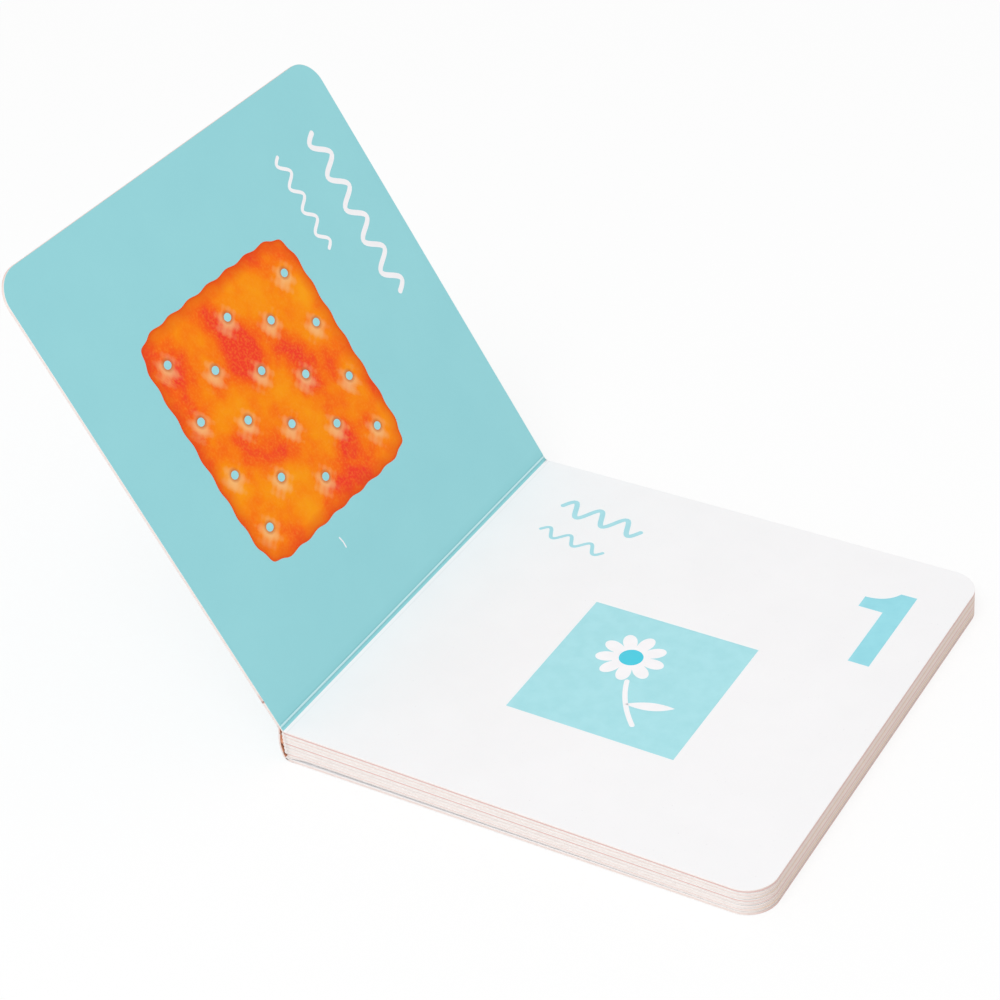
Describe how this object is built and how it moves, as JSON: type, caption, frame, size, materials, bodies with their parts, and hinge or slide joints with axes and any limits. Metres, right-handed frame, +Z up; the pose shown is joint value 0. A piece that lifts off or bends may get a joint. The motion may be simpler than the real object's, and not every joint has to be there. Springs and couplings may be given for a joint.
{
  "type": "board book",
  "caption": "Square board book of thick pasted leaves with round corners, lying open at its first spread, with hinged covers and a bowed spine strip.",
  "frame": {"origin": "middle of the back cover's underside, on the surface that the book lies on", "axes": "+X from the gutter to the fore edge, +Y from the tail to the head, +Z up"},
  "size_m": [0.225, 0.15, 0.1416],
  "materials": {
    "page_board": "white board with a soft satin coat, cut edges pale pink-white",
    "teal_page": "board printed pale teal with a soft satin coat",
    "cover_wrap": "printed board with a soft satin laminate",
    "binding_glue": "amber-brown set glue"
  },
  "bodies": {
    "back_leaf": {"back_cover": "cover_wrap", "last_page": "page_board"},
    "pages": {"page_block": "page_board", "spine": "cover_wrap", "spine_glue": "binding_glue"},
    "front_leaf": {"first_page": "teal_page", "front_cover": "cover_wrap"}
  },
  "joints": [
    {"name": "back_cover_hinge", "type": "hinge", "parent": "back_leaf", "child": "pages", "pos_m": [-0.075, 0, 0.00108], "axis": [0, -1, 0], "range_deg": [0, 179]},
    {"name": "front_cover_hinge", "type": "hinge", "parent": "pages", "child": "front_leaf", "pos_m": [-0.075, 0, 0.0112], "axis": [0, 1, 0], "range_deg": [-59.5, 120.5]}
  ]
}
